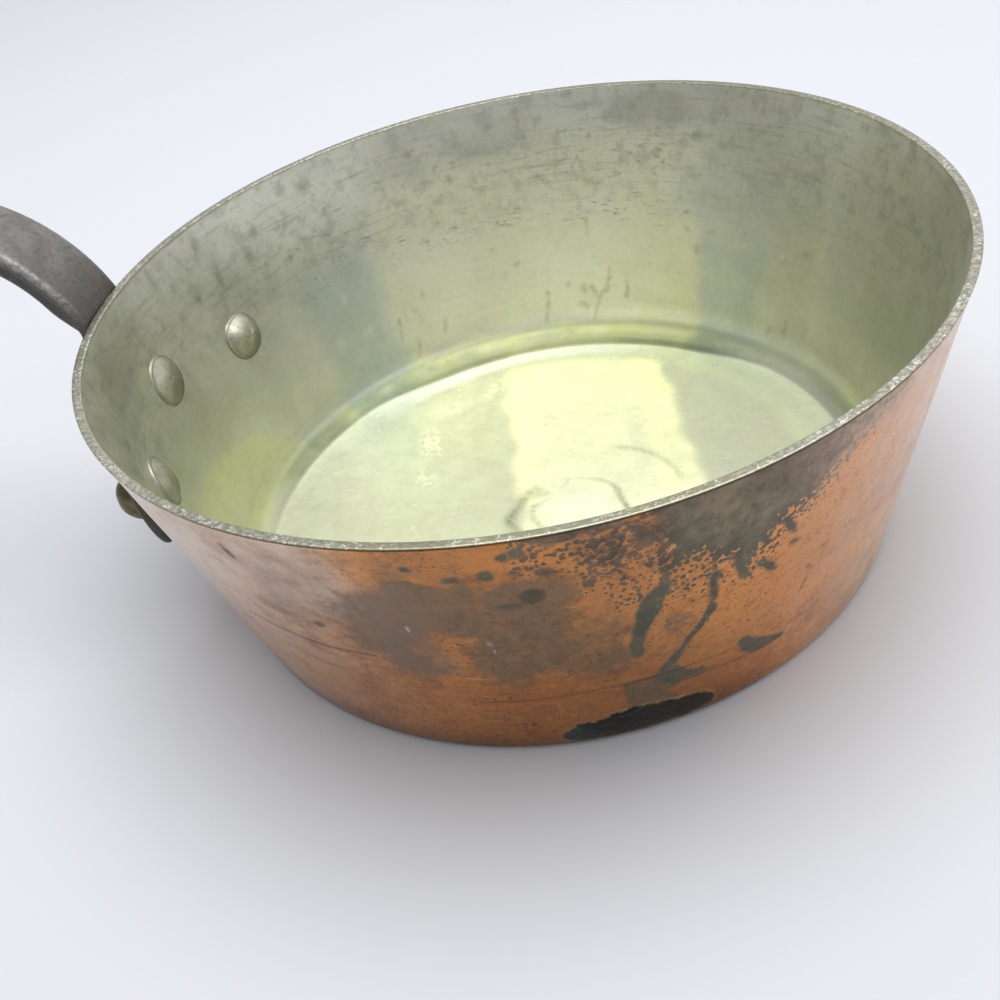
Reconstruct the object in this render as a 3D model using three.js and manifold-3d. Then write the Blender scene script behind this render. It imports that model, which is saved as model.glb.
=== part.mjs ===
// Copper windsor pan, tinned inside, with a cast iron handle held by three rivets.
// Millimetres, +Z up. The origin is the centre of the flat base, and the handle points along -X.
// "Drop" is a distance down the slope of the wall from the rim.

import * as THREE from 'three';
import { mergeVertices } from 'three/addons/utils/BufferGeometryUtils.js';
import Module from 'manifold-3d';

// Copper body
const rimRadius = 100;            // outside radius at the top edge
const rimHeight = 72.3;
const footRadius = 82.2;          // where the line of the wall meets the base plane
const baseEdgeRadius = 2.5;       // outside radius between base and wall
const copperWall = 1.6;
const copperBase = 1.9;

// Tin lining
const tinThickness = 0.2;
const bondGap = 0.1;              // between copper and tin
const innerCornerRadius = 6.5;    // between the floor and the wall, on the tin

// Rivets
const outerRivetDrop = 32;
const outerRivetSpread = 67.5;    // between the two outer rivets, across the handle
const middleRivetDrop = 24.7;
const shankRadius = 3.5;
const outerHeadRadius = 6;
const outerHeadHeight = 5.4;
const innerHeadRadius = 6.6;
const innerHeadHeight = 2.9;
const holeClearance = 0.3;        // round each shank
const seatGap = 0.3;              // between pieces that rest on each other

// Handle: the flange on the wall
const flangeThickness = 4;
const wingReach = 15.5;           // past the centre of an outer rivet
const wingHeight = 20.2;
const wingLag = 0.9;              // the wing's middle line lies this much lower than its rivet
const flangeTopDrop = 5;          // where the flange has narrowed to the stem
const flangeFoot = 12.5;          // flange below the middle rivet's centre
const wingTangent = 14;           // how far the flange's edges run straight out of a wing

// Handle: the stem
const stemRootDrop = 17;          // lowest point of the rib on the flange
const bendDrop = 3.1;             // where the stem leaves the wall
const bendRadius = 43.6;
const stemAngle = 24;             // slope in degrees at the end of the bend
const bowRadius = 900;            // long gentle arc of the stem
const stemLength = 146;           // from the bend to the centre of the eye
const stemWidth = 20.7;
const waistWidth = 18.6;          // narrowest, half way along the stem
const plateThickness = 3.4;
const ribWidth = 9.6;
const ribDepth = 11;              // whole depth of the stem, rib and plate
const ribRise = 0.25;             // share of the bend at which the rib has its whole depth
const ribRun = 0.8;               // share of the stem at which the rib has run out

// Handle: the eye at its end
const eyeRadius = 13.5;
const eyeThickness = 5.4;
const eyeBlend = 34;              // length over which the stem swells into the eye
const holeRadius = 6.2;           // hanging hole, round end
const holeTipRadius = 3.2;        // hanging hole, narrow end
const holeLength = 17;            // between the centres of those two ends

// Fineness of the round shapes
const panSegments = 80;
const rivetSegments = 24;
const domeSteps = 5;
const cornerSteps = 5;
const stemSteps = 40;
const flangeSteps = 10;
const eyeSteps = 20;
const holeSteps = 12;

const wasm = await Module();
wasm.setup();

// Closed meshes as solids that can be cut and joined, and back

function solid(geometry) {
  const bare = geometry.clone();
  bare.deleteAttribute('normal');
  bare.deleteAttribute('uv');
  const merged = mergeVertices(bare);
  const corners = merged.index.array;
  const kept = [];
  for (let i = 0; i < corners.length; i += 3) {
    const [a, b, c] = [corners[i], corners[i + 1], corners[i + 2]];
    if (a !== b && b !== c && c !== a) {
      kept.push(a, b, c);
    }
  }
  return new wasm.Manifold(new wasm.Mesh({
    numProp: 3,
    vertProperties: new Float32Array(merged.attributes.position.array),
    triVerts: new Uint32Array(kept),
  }));
}

function geometryOf(shape) {
  const mesh = shape.getMesh();
  const geometry = new THREE.BufferGeometry();
  geometry.setAttribute('position', new THREE.BufferAttribute(mesh.vertProperties, 3));
  geometry.setIndex(new THREE.BufferAttribute(mesh.triVerts, 1));
  geometry.computeVertexNormals();
  return geometry;
}

function turned(profile, segments) {
  const points = profile.map(([radius, height]) => new THREE.Vector2(radius, height));
  const geometry = new THREE.LatheGeometry(points, segments);
  geometry.rotateX(Math.PI / 2);
  return solid(geometry);
}

function extruded(points, depth, xAxis, yAxis, zAxis, start) {
  const geometry = new THREE.ExtrudeGeometry(new THREE.Shape(points), { depth, bevelEnabled: false });
  geometry.applyMatrix4(new THREE.Matrix4().makeBasis(xAxis, yAxis, zAxis));
  geometry.translate(...start);
  return solid(geometry);
}

// The wall is a cone. An offset is measured square to its outside face, outwards.

const wallTilt = Math.atan((rimRadius - footRadius) / rimHeight);
const innerOffset = -(copperWall + bondGap + tinThickness);

function wallRadius(height, offset = 0) {
  return footRadius + height * Math.tan(wallTilt) + offset / Math.cos(wallTilt);
}

// Arc from the floor at floorHeight up into the wall at an offset, as [radius, height] pairs
function cornerArc(floorHeight, offset, radius) {
  const centreHeight = floorHeight + radius;
  const centreRadius = wallRadius(centreHeight, offset) - radius / Math.cos(wallTilt);
  const points = [];
  for (let i = 0; i <= cornerSteps; i += 1) {
    const angle = -Math.PI / 2 + (Math.PI / 2 - wallTilt) * i / cornerSteps;
    points.push([centreRadius + radius * Math.cos(angle), centreHeight + radius * Math.sin(angle)]);
  }
  return points;
}

// Ring of wall between two offsets, open at the top and the bottom
function wallShell(innerFace, outerFace, bottom, top) {
  return turned([
    [wallRadius(bottom, innerFace), bottom],
    [wallRadius(bottom, outerFace), bottom],
    [wallRadius(top, outerFace), top],
    [wallRadius(top, innerFace), top],
    [wallRadius(bottom, innerFace), bottom],
  ], panSegments);
}

// Place on the outside of the wall: an angle from the handle's direction, and a drop from the rim
function wallPlace(angle, drop) {
  const height = rimHeight - drop * Math.cos(wallTilt);
  const normal = new THREE.Vector3(-Math.cos(wallTilt), 0, -Math.sin(wallTilt));
  const upWall = new THREE.Vector3(-Math.sin(wallTilt), 0, Math.cos(wallTilt));
  const across = new THREE.Vector3().crossVectors(upWall, normal);
  const matrix = new THREE.Matrix4().makeBasis(across, upWall, normal);
  matrix.setPosition(-wallRadius(height), 0, height);
  return new THREE.Matrix4().makeRotationZ(angle).multiply(matrix);
}

const outerRivetAngle = Math.asin(
  outerRivetSpread / 2 / wallRadius(rimHeight - outerRivetDrop * Math.cos(wallTilt)));
const rivetPlaces = {
  rivet_left: wallPlace(outerRivetAngle, outerRivetDrop),
  rivet_middle: wallPlace(0, middleRivetDrop),
  rivet_right: wallPlace(-outerRivetAngle, outerRivetDrop),
};

// Cylinder along the axis of a rivet, from inside the pan to outside the flange
function shank(radius, place) {
  const reach = flangeThickness + outerHeadHeight / 2;
  const depth = reach - innerOffset + innerHeadHeight / 2;
  const geometry = new THREE.CylinderGeometry(radius, radius, depth, rivetSegments);
  geometry.rotateX(Math.PI / 2);
  geometry.translate(0, 0, reach - depth / 2);
  return solid(geometry.applyMatrix4(place));
}

function drilled(shape) {
  let result = shape;
  for (const place of Object.values(rivetPlaces)) {
    result = result.subtract(shank(shankRadius + holeClearance, place));
  }
  return result;
}

// Copper body: one raised shell with a flat base and a flat rim

function copperBody() {
  const top = rimHeight - tinThickness - bondGap;
  const inner = cornerArc(copperBase, -copperWall, innerCornerRadius + tinThickness + bondGap);
  return drilled(turned([
    [0, 0],
    ...cornerArc(0, 0, baseEdgeRadius),
    [wallRadius(top), top],
    [wallRadius(top, -copperWall), top],
    ...inner.reverse(),
    [0, copperBase],
  ], panSegments));
}

// Tin lining: a thin skin on the inside that turns outwards over the rim

function tinLining() {
  const outerFace = -copperWall - bondGap;
  const floor = copperBase + bondGap;
  const underRim = rimHeight - tinThickness;
  const inner = cornerArc(floor + tinThickness, innerOffset, innerCornerRadius);
  return drilled(turned([
    [0, floor],
    ...cornerArc(floor, outerFace, innerCornerRadius + tinThickness),
    [wallRadius(underRim, outerFace), underRim],
    [wallRadius(underRim), underRim],
    [rimRadius, rimHeight],
    [wallRadius(rimHeight, innerOffset), rimHeight],
    ...inner.reverse(),
    [0, floor + tinThickness],
  ], panSegments));
}

// Rivets: a high round head outside on the flange, and a low one inside on the tin

function domeProfile(radius, height) {
  const sphere = (radius * radius + height * height) / (2 * height);
  const halfAngle = Math.atan2(radius, sphere - height);
  const points = [[0, -seatGap], [radius, -seatGap]];
  for (let i = 0; i < domeSteps; i += 1) {
    const angle = halfAngle * (1 - i / domeSteps);
    points.push([sphere * Math.sin(angle), height - sphere * (1 - Math.cos(angle))]);
  }
  points.push([0, height]);
  return points;
}

// The heads are cut to the round of the wall by all that the rivet holds together
function rivet(place) {
  const outerSeat = flangeThickness + 2 * seatGap;
  const innerSeat = innerOffset - seatGap;
  const outside = turned(domeProfile(outerHeadRadius, outerHeadHeight), rivetSegments);
  const inside = turned(domeProfile(innerHeadRadius, innerHeadHeight), rivetSegments);
  const outsidePlace = place.clone()
    .multiply(new THREE.Matrix4().makeTranslation(0, 0, outerSeat));
  const insidePlace = place.clone()
    .multiply(new THREE.Matrix4().makeTranslation(0, 0, innerSeat))
    .multiply(new THREE.Matrix4().makeRotationX(Math.PI));
  return outside.transform(outsidePlace.elements)
    .add(inside.transform(insidePlace.elements))
    .subtract(wallShell(innerSeat, outerSeat, 0, rimHeight))
    .add(shank(shankRadius, place));
}

// Handle. Its top line runs up the wall, bends outwards over the rim and follows a long arc.
// "Out" is the distance from the pan's axis, and u the length along the line.

const wallSlope = Math.PI / 2 - wallTilt;
const bendEnd = THREE.MathUtils.degToRad(stemAngle);
const wallRun = stemRootDrop - bendDrop;
const bendRun = bendRadius * (wallSlope - bendEnd);
const eyeCentre = wallRun + bendRun + stemLength;

function topLine(u) {
  const rootHeight = rimHeight - stemRootDrop * Math.cos(wallTilt);
  const onWall = Math.min(u, wallRun);
  let out = wallRadius(rootHeight, seatGap) + onWall * Math.cos(wallSlope);
  let height = rootHeight + onWall * Math.sin(wallSlope);
  let slope = wallSlope;
  const arcs = [
    { start: wallRun, run: bendRun, radius: bendRadius },
    { start: wallRun + bendRun, run: Infinity, radius: bowRadius },
  ];
  for (const { start, run, radius } of arcs) {
    const along = Math.min(Math.max(u - start, 0), run);
    const next = slope - along / radius;
    out += radius * (Math.sin(slope) - Math.sin(next));
    height += radius * (Math.cos(next) - Math.cos(slope));
    slope = next;
  }
  return { out, height, slope };
}

function smooth(value, from, to) {
  return THREE.MathUtils.smoothstep(value, from, to);
}

function plateDepth(u) {
  return plateThickness + (eyeThickness - plateThickness) * smooth(u, eyeCentre - eyeBlend, eyeCentre);
}

// The rib rises out of the flange, and runs out inside the plate
function stemDepth(u) {
  const full = smooth(u, 0, wallRun + bendRun * ribRise);
  const risen = flangeThickness + (ribDepth - flangeThickness) * full;
  const stemStart = wallRun + bendRun;
  const gone = smooth(u, stemStart, stemStart + stemLength * ribRun);
  return risen + (plateThickness / 2 - risen) * gone;
}

// Side view of a bar that hangs from the top line, extruded across a width
function sideBar(start, end, depthAt, width) {
  const above = [];
  const below = [];
  for (let i = 0; i <= stemSteps; i += 1) {
    const u = start + (end - start) * i / stemSteps;
    const { out, height, slope } = topLine(u);
    const depth = depthAt(u);
    above.push(new THREE.Vector2(out, height));
    below.push(new THREE.Vector2(out + depth * Math.sin(slope), height - depth * Math.cos(slope)));
  }
  return extruded([...above, ...below.reverse()], width,
    new THREE.Vector3(-1, 0, 0), new THREE.Vector3(0, 0, 1), new THREE.Vector3(0, 1, 0),
    [0, -width / 2, 0]);
}

// Plan view, extruded upwards past any height that the handle can reach
function planBlock(points) {
  return extruded(points, rimHeight + eyeCentre + eyeRadius,
    new THREE.Vector3(-1, 0, 0), new THREE.Vector3(0, -1, 0), new THREE.Vector3(0, 0, 1),
    [0, 0, 0]);
}

function stemHalfWidth(u) {
  const along = (u - wallRun) / (eyeCentre - wallRun);
  const waist = Math.sin(Math.PI * Math.min(Math.max(along, 0), 1));
  return stemWidth / 2 - (stemWidth - waistWidth) / 2 * waist;
}

// The stem narrows to its waist and swells into a round eye
function stemOutline() {
  const eye = topLine(eyeCentre);
  const side = [];
  for (let i = 0; i <= stemSteps; i += 1) {
    const u = eyeCentre * i / stemSteps;
    const swell = smooth(u, eyeCentre - eyeBlend, eyeCentre);
    side.push([topLine(u).out, stemHalfWidth(u) + (eyeRadius - stemHalfWidth(u)) * swell]);
  }
  const outline = side.map(([out, half]) => new THREE.Vector2(out, half));
  const round = new THREE.Path().absarc(eye.out, 0, eyeRadius, Math.PI / 2, -Math.PI / 2, true);
  outline.push(...round.getPoints(eyeSteps).slice(1, -1));
  outline.push(...side.reverse().map(([out, half]) => new THREE.Vector2(out, -half)));
  return outline;
}

// Hanging hole: a drop shape whose narrow end points back along the stem
function hangingHole() {
  const eye = topLine(eyeCentre);
  const lean = Math.asin((holeRadius - holeTipRadius) / holeLength);
  const sideAngle = Math.PI / 2 + lean;
  const outline = new THREE.Path();
  outline.absarc(eye.out, 0, holeRadius, sideAngle, -sideAngle, true);
  outline.absarc(eye.out - holeLength, 0, holeTipRadius, -sideAngle, sideAngle - 2 * Math.PI, true);
  return planBlock(outline.getPoints(holeSteps).slice(0, -1));
}

// Flange outline on the unrolled wall, as [across, drop]: two round wings and a foot between them
function flangeOutline() {
  const wing = outerRivetAngle * wallRadius(rimHeight - outerRivetDrop * Math.cos(wallTilt));
  const wingDrop = outerRivetDrop + wingLag;
  const half = wingHeight / 2;
  const footDrop = middleRivetDrop + flangeFoot;
  const outline = new THREE.Path();
  outline.moveTo(stemWidth / 2, flangeTopDrop);
  outline.bezierCurveTo(
    stemWidth / 2, wingDrop - half, wing - wingTangent, wingDrop - half, wing, wingDrop - half);
  outline.absellipse(wing, wingDrop, wingReach, half, -Math.PI / 2, Math.PI / 2, false);
  outline.bezierCurveTo(
    wing - wingTangent, wingDrop + half, wingTangent, footDrop, 0, footDrop);
  const right = outline.getPoints(flangeSteps);
  const left = right.slice(0, -1).reverse().map((point) => new THREE.Vector2(-point.x, point.y));
  return [...right, ...left];
}

function flange() {
  const outline = flangeOutline().map(({ x: across, y: drop }) => {
    const height = rimHeight - drop * Math.cos(wallTilt);
    const radius = wallRadius(height);
    return new THREE.Vector2(radius * Math.sin(across / radius), height);
  });
  const reach = rimRadius + 2 * flangeThickness;
  const block = extruded(outline, reach,
    new THREE.Vector3(0, 1, 0), new THREE.Vector3(0, 0, 1), new THREE.Vector3(1, 0, 0),
    [-reach, 0, 0]);
  const shell = wallShell(seatGap, seatGap + flangeThickness, 0, rimHeight);
  return shell.intersect(block);
}

function castHandle() {
  const plan = planBlock(stemOutline());
  const plate = sideBar(0, eyeCentre + eyeRadius, plateDepth, 2 * eyeRadius).intersect(plan);
  const rib = sideBar(0, eyeCentre - eyeBlend, stemDepth, ribWidth);
  const panBody = turned([
    [0, 0],
    [wallRadius(0, seatGap), 0],
    [wallRadius(rimHeight, seatGap), rimHeight],
    [0, rimHeight],
  ], panSegments);
  return drilled(flange().add(plate).add(rib).subtract(hangingHole()).subtract(panBody));
}

// Finishes

const copper = { color: 0xb9714a, roughness: 0.42, metalness: 1 };
const tin = { color: 0xb4b7a2, roughness: 0.38, metalness: 1 };
const iron = { color: 0x6d6b67, roughness: 0.55, metalness: 1 };
const bronze = { color: 0x5d4c38, roughness: 0.5, metalness: 1 };

const pan = new THREE.Group();

function addPiece(name, shape, finish) {
  const mesh = new THREE.Mesh(geometryOf(shape), new THREE.MeshStandardMaterial(finish));
  mesh.name = name;
  pan.add(mesh);
}

addPiece('copper_body', copperBody(), copper);
addPiece('tin_lining', tinLining(), tin);
addPiece('cast_handle', castHandle(), iron);
for (const [name, place] of Object.entries(rivetPlaces)) {
  addPiece(name, rivet(place), bronze);
}

export default pan;
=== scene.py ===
import functools
import math

import bpy
import numpy as np
from mathutils import Matrix, Vector


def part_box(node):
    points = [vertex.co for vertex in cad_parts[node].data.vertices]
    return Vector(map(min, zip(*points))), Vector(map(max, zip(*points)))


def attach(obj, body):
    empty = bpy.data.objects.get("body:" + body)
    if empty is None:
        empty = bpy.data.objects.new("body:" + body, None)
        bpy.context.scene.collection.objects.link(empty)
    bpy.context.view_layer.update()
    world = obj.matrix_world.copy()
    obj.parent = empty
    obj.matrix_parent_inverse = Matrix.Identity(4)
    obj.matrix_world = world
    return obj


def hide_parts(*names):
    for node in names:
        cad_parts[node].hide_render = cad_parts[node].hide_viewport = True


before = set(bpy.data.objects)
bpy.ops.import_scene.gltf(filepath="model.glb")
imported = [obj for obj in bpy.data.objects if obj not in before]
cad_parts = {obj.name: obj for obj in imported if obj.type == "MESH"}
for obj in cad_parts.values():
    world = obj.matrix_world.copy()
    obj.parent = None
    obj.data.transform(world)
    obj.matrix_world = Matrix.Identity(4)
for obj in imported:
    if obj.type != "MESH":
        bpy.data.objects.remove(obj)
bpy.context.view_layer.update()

# Looks of the copper windsor pan. Sizes are in millimetres until a mesh is made.
# The pan's axis is Z and the handle points along -X. Azimuths are degrees from +X, turning to +Y.
# "Drop" is a distance down the slope of the wall from the rim.
MM = 0.001

# Pan
rim_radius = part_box("tin_lining")[1].x / MM
rim_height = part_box("tin_lining")[1].z / MM
foot_radius = 82.2
base_edge_radius = 2.5
copper_wall = 1.6
copper_base = 1.9
tin_thickness = 0.2
bond_gap = 0.1
inner_corner_radius = 6.5
corner_top = 14.0
flat_radius = 60.0
hub_radius = 6.0
wall_tilt = math.atan((rim_radius - foot_radius) / rim_height)
inner_offset = -(copper_wall + bond_gap + tin_thickness)

# Handle
seat_gap = 0.3
flange_thickness = 4.0
wing_reach = 15.5
wing_height = 20.2
wing_lag = 0.9
flange_top_drop = 5.0
flange_foot = 12.5
wing_tangent = 14.0
stem_root_drop = 17.0
bend_drop = 3.1
bend_radius = 43.6
stem_angle = 24.0
bow_radius = 900.0
stem_length = 146.0
stem_width = 20.7
waist_width = 18.6
plate_thickness = 3.4
rib_width = 9.6
rib_depth = 11.0
rib_rise = 0.25
rib_run = 0.8
eye_radius = 13.5
eye_thickness = 5.4
eye_blend = 34.0
hole_radius = 6.2
hole_tip_radius = 3.2
hole_length = 17.0
plate_round = 1.45
rib_round = 2.0
flange_round = 1.3
rib_draft = 0.08
rib_fillet = 1.6
flange_fillet = 4.0
wall_slope = math.pi / 2 - wall_tilt
wall_run = stem_root_drop - bend_drop
bend_run = bend_radius * (wall_slope - math.radians(stem_angle))
stem_start = wall_run + bend_run
eye_centre = stem_start + stem_length

# Rivets
shank_radius = 3.5
bore_gap = 0.3
inner_skirt = 0.4
inner_sink = 0.12
outer_rivet_drop = 32.0
outer_rivet_spread = 67.5
middle_rivet_drop = 24.7


# Shapes


def wall_radius(height, offset=0.0):
    """Radius of the wall's outside face at a height, with an offset square to it."""
    return foot_radius + height * math.tan(wall_tilt) + offset / math.cos(wall_tilt)


def wall_point(height, offset=0.0):
    """(radius, height) of the wall's outside face."""
    return [wall_radius(height, offset), height]


def drop_height(drop):
    """Height of the wall's outside face at a drop."""
    return rim_height - drop * math.cos(wall_tilt)


def smooth(value, low, high):
    """0 up to low, 1 from high, and a soft step between."""
    share = np.clip((value - low) / (high - low), 0, 1)
    return share * share * (3 - 2 * share)


def fall(value, low, high):
    """1 up to low, 0 from high, and a soft step between."""
    return 1 - smooth(value, low, high)


def band(value, low, full, still_full, high):
    """1 from full to still_full, falling softly to 0 at low and at high."""
    return smooth(value, low, full) * fall(value, still_full, high)


def unevenness(angle, along, seed, turns=(2, 9), length=70.0, waves=9):
    """Gentle hand-made waves, about -1 to 1, that close on themselves round the pan."""
    rng = np.random.default_rng(seed)
    total = 0.0
    for _ in range(waves):
        phase = rng.uniform(0, 2 * math.pi)
        pitch = rng.uniform(-1, 1) * 2 * math.pi / length
        total = total + np.cos(rng.integers(*turns) * angle + pitch * along + phase)
    return total / math.sqrt(waves) / 1.4


def make_piece(name, points, faces, fields=None):
    """A smooth shaded mesh from points in millimetres, with a number per point for each named field."""
    mesh = bpy.data.meshes.new(name)
    mesh.from_pydata((np.asarray(points) * MM).tolist(), [], faces)
    mesh.update()
    for field, values in (fields or {}).items():
        attribute = mesh.attributes.new(field, "FLOAT", "POINT")
        attribute.data.foreach_set("value", np.asarray(values, np.float32))
    mesh.shade_smooth()
    piece = bpy.data.objects.new(name, mesh)
    bpy.context.scene.collection.objects.link(piece)
    return piece


def ring_faces(rows, columns):
    """Faces of a closed turned shape: rows of points that go once round, and a centre point at each end."""
    around = np.arange(columns)
    onward = np.roll(around, -1)
    low = np.arange(rows - 1)[:, None] * columns
    high = low + columns
    quads = np.stack([low + around, low + onward, high + onward, high + around], -1).reshape(-1, 4)
    centre = np.full(columns, rows * columns)
    start = np.stack([centre, onward, around], -1)
    end = np.stack([centre + 1, high[-1] + around, high[-1] + onward], -1)
    return quads.tolist() + start.tolist() + end.tolist()


def fine_angles(start, end, fine, coarse):
    """Angles once round, in radians: close together from start to end, and wider apart elsewhere."""
    close = np.arange(start, end, fine)
    wide = np.linspace(end, start + 360, int((start + 360 - end) / coarse), endpoint=False)
    return np.radians(np.concatenate([close, wide]))


def turn(profile, angle, shift=None):
    """Points of a turned shape from (radius, height) rows. Shift moves them along their normals."""
    profile = np.asarray(profile, float)
    radius = np.repeat(profile[:, :1], len(angle), 1)
    height = np.repeat(profile[:, 1:], len(angle), 1)
    if shift is not None:
        along = np.gradient(profile, axis=0)
        along /= np.linalg.norm(along, axis=1, keepdims=True) + 1e-9
        amount = shift(np.repeat(angle[None, :], len(profile), 0), radius, height)
        radius = radius + amount * along[:, 1:]
        height = height - amount * along[:, :1]
    ring = np.stack([radius * np.cos(angle), radius * np.sin(angle), height], -1).reshape(-1, 3)
    ends = [[0, 0, height[0].mean()], [0, 0, height[-1].mean()]]
    return np.vstack([ring, ends])


def turned_piece(name, profile, angles, shift, fields):
    """A turned piece with waves and marks, and with its fields."""
    points = turn(profile, angles, shift)
    return make_piece(name, points, ring_faces(len(profile), len(angles)), fields(points))


def arc(centre, radius, start, end, steps):
    """(radius, height) points on an arc, with angles in radians from the horizontal."""
    angles = np.linspace(start, end, steps + 1)
    return [[centre[0] + radius * math.cos(a), centre[1] + radius * math.sin(a)] for a in angles]


def line(start, end, steps):
    """Points from start up to, but without, end."""
    return [[start[0] + (end[0] - start[0]) * i / steps, start[1] + (end[1] - start[1]) * i / steps]
            for i in range(steps)]


def bend(start, pull_start, pull_end, end, steps):
    """Points from start up to, but without, end on a cubic curve."""
    t = np.linspace(0, 1, steps, endpoint=False)[:, None]
    a, b, c, d = (np.array(point, float) for point in (start, pull_start, pull_end, end))
    return (a * (1 - t) ** 3 + 3 * b * t * (1 - t) ** 2 + 3 * c * t * t * (1 - t) + d * t ** 3).tolist()


def corner(floor_height, offset, radius, steps):
    """Arc from a floor up into the wall, as (radius, height) points."""
    height = floor_height + radius
    out = wall_radius(height, offset) - radius / math.cos(wall_tilt)
    return arc((out, height), radius, -math.pi / 2, -wall_tilt, steps)


def line_distance(x, y, ax, ay, bx, by):
    """Distance to a line, and the share of its length, 0 to 1, at which it is nearest."""
    dx, dy = bx - ax, by - ay
    share = np.clip(((x - ax) * dx + (y - ay) * dy) / (dx * dx + dy * dy + 1e-12), 0, 1)
    return np.hypot(x - ax - share * dx, y - ay - share * dy), share


def polygon_distance(x, y, corners):
    """Distance to a closed outline, negative inside."""
    best = np.inf
    inside = False
    for (ax, ay), (bx, by) in zip(corners, [*corners[1:], corners[0]]):
        best = np.minimum(best, line_distance(x, y, ax, ay, bx, by)[0])
        inside ^= ((ay > y) != (by > y)) & (x < ax + (y - ay) * (bx - ax) / (by - ay or 1e-12))
    return np.where(inside, -best, best)


def path_distance(x, y, path):
    """Distance to a brush stroke. Its points are (x, y, half width)."""
    best = np.inf
    for (ax, ay, a_width), (bx, by, b_width) in zip(path[:-1], path[1:]):
        away, share = line_distance(x, y, ax, ay, bx, by)
        best = np.minimum(best, away - (a_width + (b_width - a_width) * share))
    return best


def spot_distance(x, y, middle_x, middle_y, wide, tall, lean=0.0):
    """Distance to an oval spot with half sizes wide and tall; lean is in degrees, anticlockwise."""
    turn_x, turn_y = math.cos(math.radians(lean)), math.sin(math.radians(lean))
    along = (x - middle_x) * turn_x + (y - middle_y) * turn_y
    across = (y - middle_y) * turn_x - (x - middle_x) * turn_y
    return (np.hypot(along / wide, across / tall) - 1) * min(wide, tall)


class Wall:
    """Places on the unrolled wall. Marks give azimuths in degrees and heights and sizes in millimetres."""

    per_degree = math.radians(wall_radius(rim_height / 2))

    def __init__(self, angle, height, first_azimuth=-180.0):
        self.azimuth = (np.degrees(angle) - first_azimuth) % 360 + first_azimuth
        self.height = height
        self.x = self.azimuth * self.per_degree
        self.wander = unevenness(angle, height, 71, (5, 50), 14, 16)

    def nearest(self, distance, marks):
        """The least of the distances to several outlines or strokes."""
        return np.min([distance(self.x, self.height, [(a * self.per_degree, *rest) for a, *rest in mark])
                       for mark in marks], 0)

    areas = functools.partialmethod(nearest, polygon_distance)
    runs = functools.partialmethod(nearest, path_distance)

    def spots(self, marks):
        return np.min([spot_distance(self.x, self.height, a * self.per_degree, *rest)
                       for a, *rest in marks], 0)

    def zone(self, azimuths, heights, soft_azimuth, soft_height):
        """1 inside a patch of the wall, falling softly to 0 round it."""
        inside = 1.0
        for value, (low, high), soft in ((self.azimuth + self.wander * 1.3, azimuths, soft_azimuth),
                                         (self.height - self.wander * 2.0, heights, soft_height)):
            inside = inside * band(value, low - soft, low + soft, high - soft, high + soft)
        return inside

    def most(self, *fields):
        """The strongest of several fields. A tuple is a zone, with its strength before its measures."""
        return np.max([field[0] * self.zone(*field[1:]) if isinstance(field, tuple) else field
                       for field in fields], 0)


def join_softly(a, b, radius):
    """Union of two fields of distances with a fillet between them."""
    overlap = np.clip(0.5 + 0.5 * (b - a) / radius, 0, 1)
    return b + (a - b) * overlap - radius * overlap * (1 - overlap)


def rounded_slab(outline, depth, thickness, radius):
    """Field of a plate from depth 0 to its thickness, with round edges, from the distance to its outline."""
    across = outline + radius
    through = np.abs(depth - thickness / 2) - thickness / 2 + radius
    away = np.hypot(np.maximum(across, 0), np.maximum(through, 0))
    return away + np.minimum(np.maximum(across, through), 0) - radius


def surface_net(field):
    """Points, in steps of the grid, and quads of the closed surface where a field changes sign."""
    sums = np.zeros([n - 1 for n in field.shape] + [4])
    edges = []
    for axis in range(3):
        steps = np.arange(field.shape[axis] - 1)
        low, high = np.take(field, steps, axis), np.take(field, steps + 1, axis)
        crossed = (low < 0) != (high < 0)
        where = np.argwhere(crossed)
        point = np.column_stack([where, np.ones(len(where))])
        point[:, axis] += low[crossed] / (low[crossed] - high[crossed])
        one, two = np.eye(3, dtype=int)[[(axis + 1) % 3, (axis + 2) % 3]]
        cells = [tuple(cell.T) for cell in (where - one - two, where - two, where, where - one)]
        for cell in cells:
            np.add.at(sums, cell, point)
        edges.append((cells, low[crossed] < 0))
    used = sums[..., 3] > 0
    number = np.full(used.shape, -1)
    number[used] = np.arange(used.sum())
    faces = []
    for cells, outward in edges:
        quad = np.stack([number[cell] for cell in cells], -1)
        faces.append(np.where(outward[:, None], quad, quad[:, ::-1]))
    return sums[used][:, :3] / sums[used][:, 3:], np.vstack(faces)


# Copper body. Areas are outlines of (azimuth, height), runs and creases are strokes of (azimuth, height, half
# width), and spots are (azimuth, height, half width, half height, lean).


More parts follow.
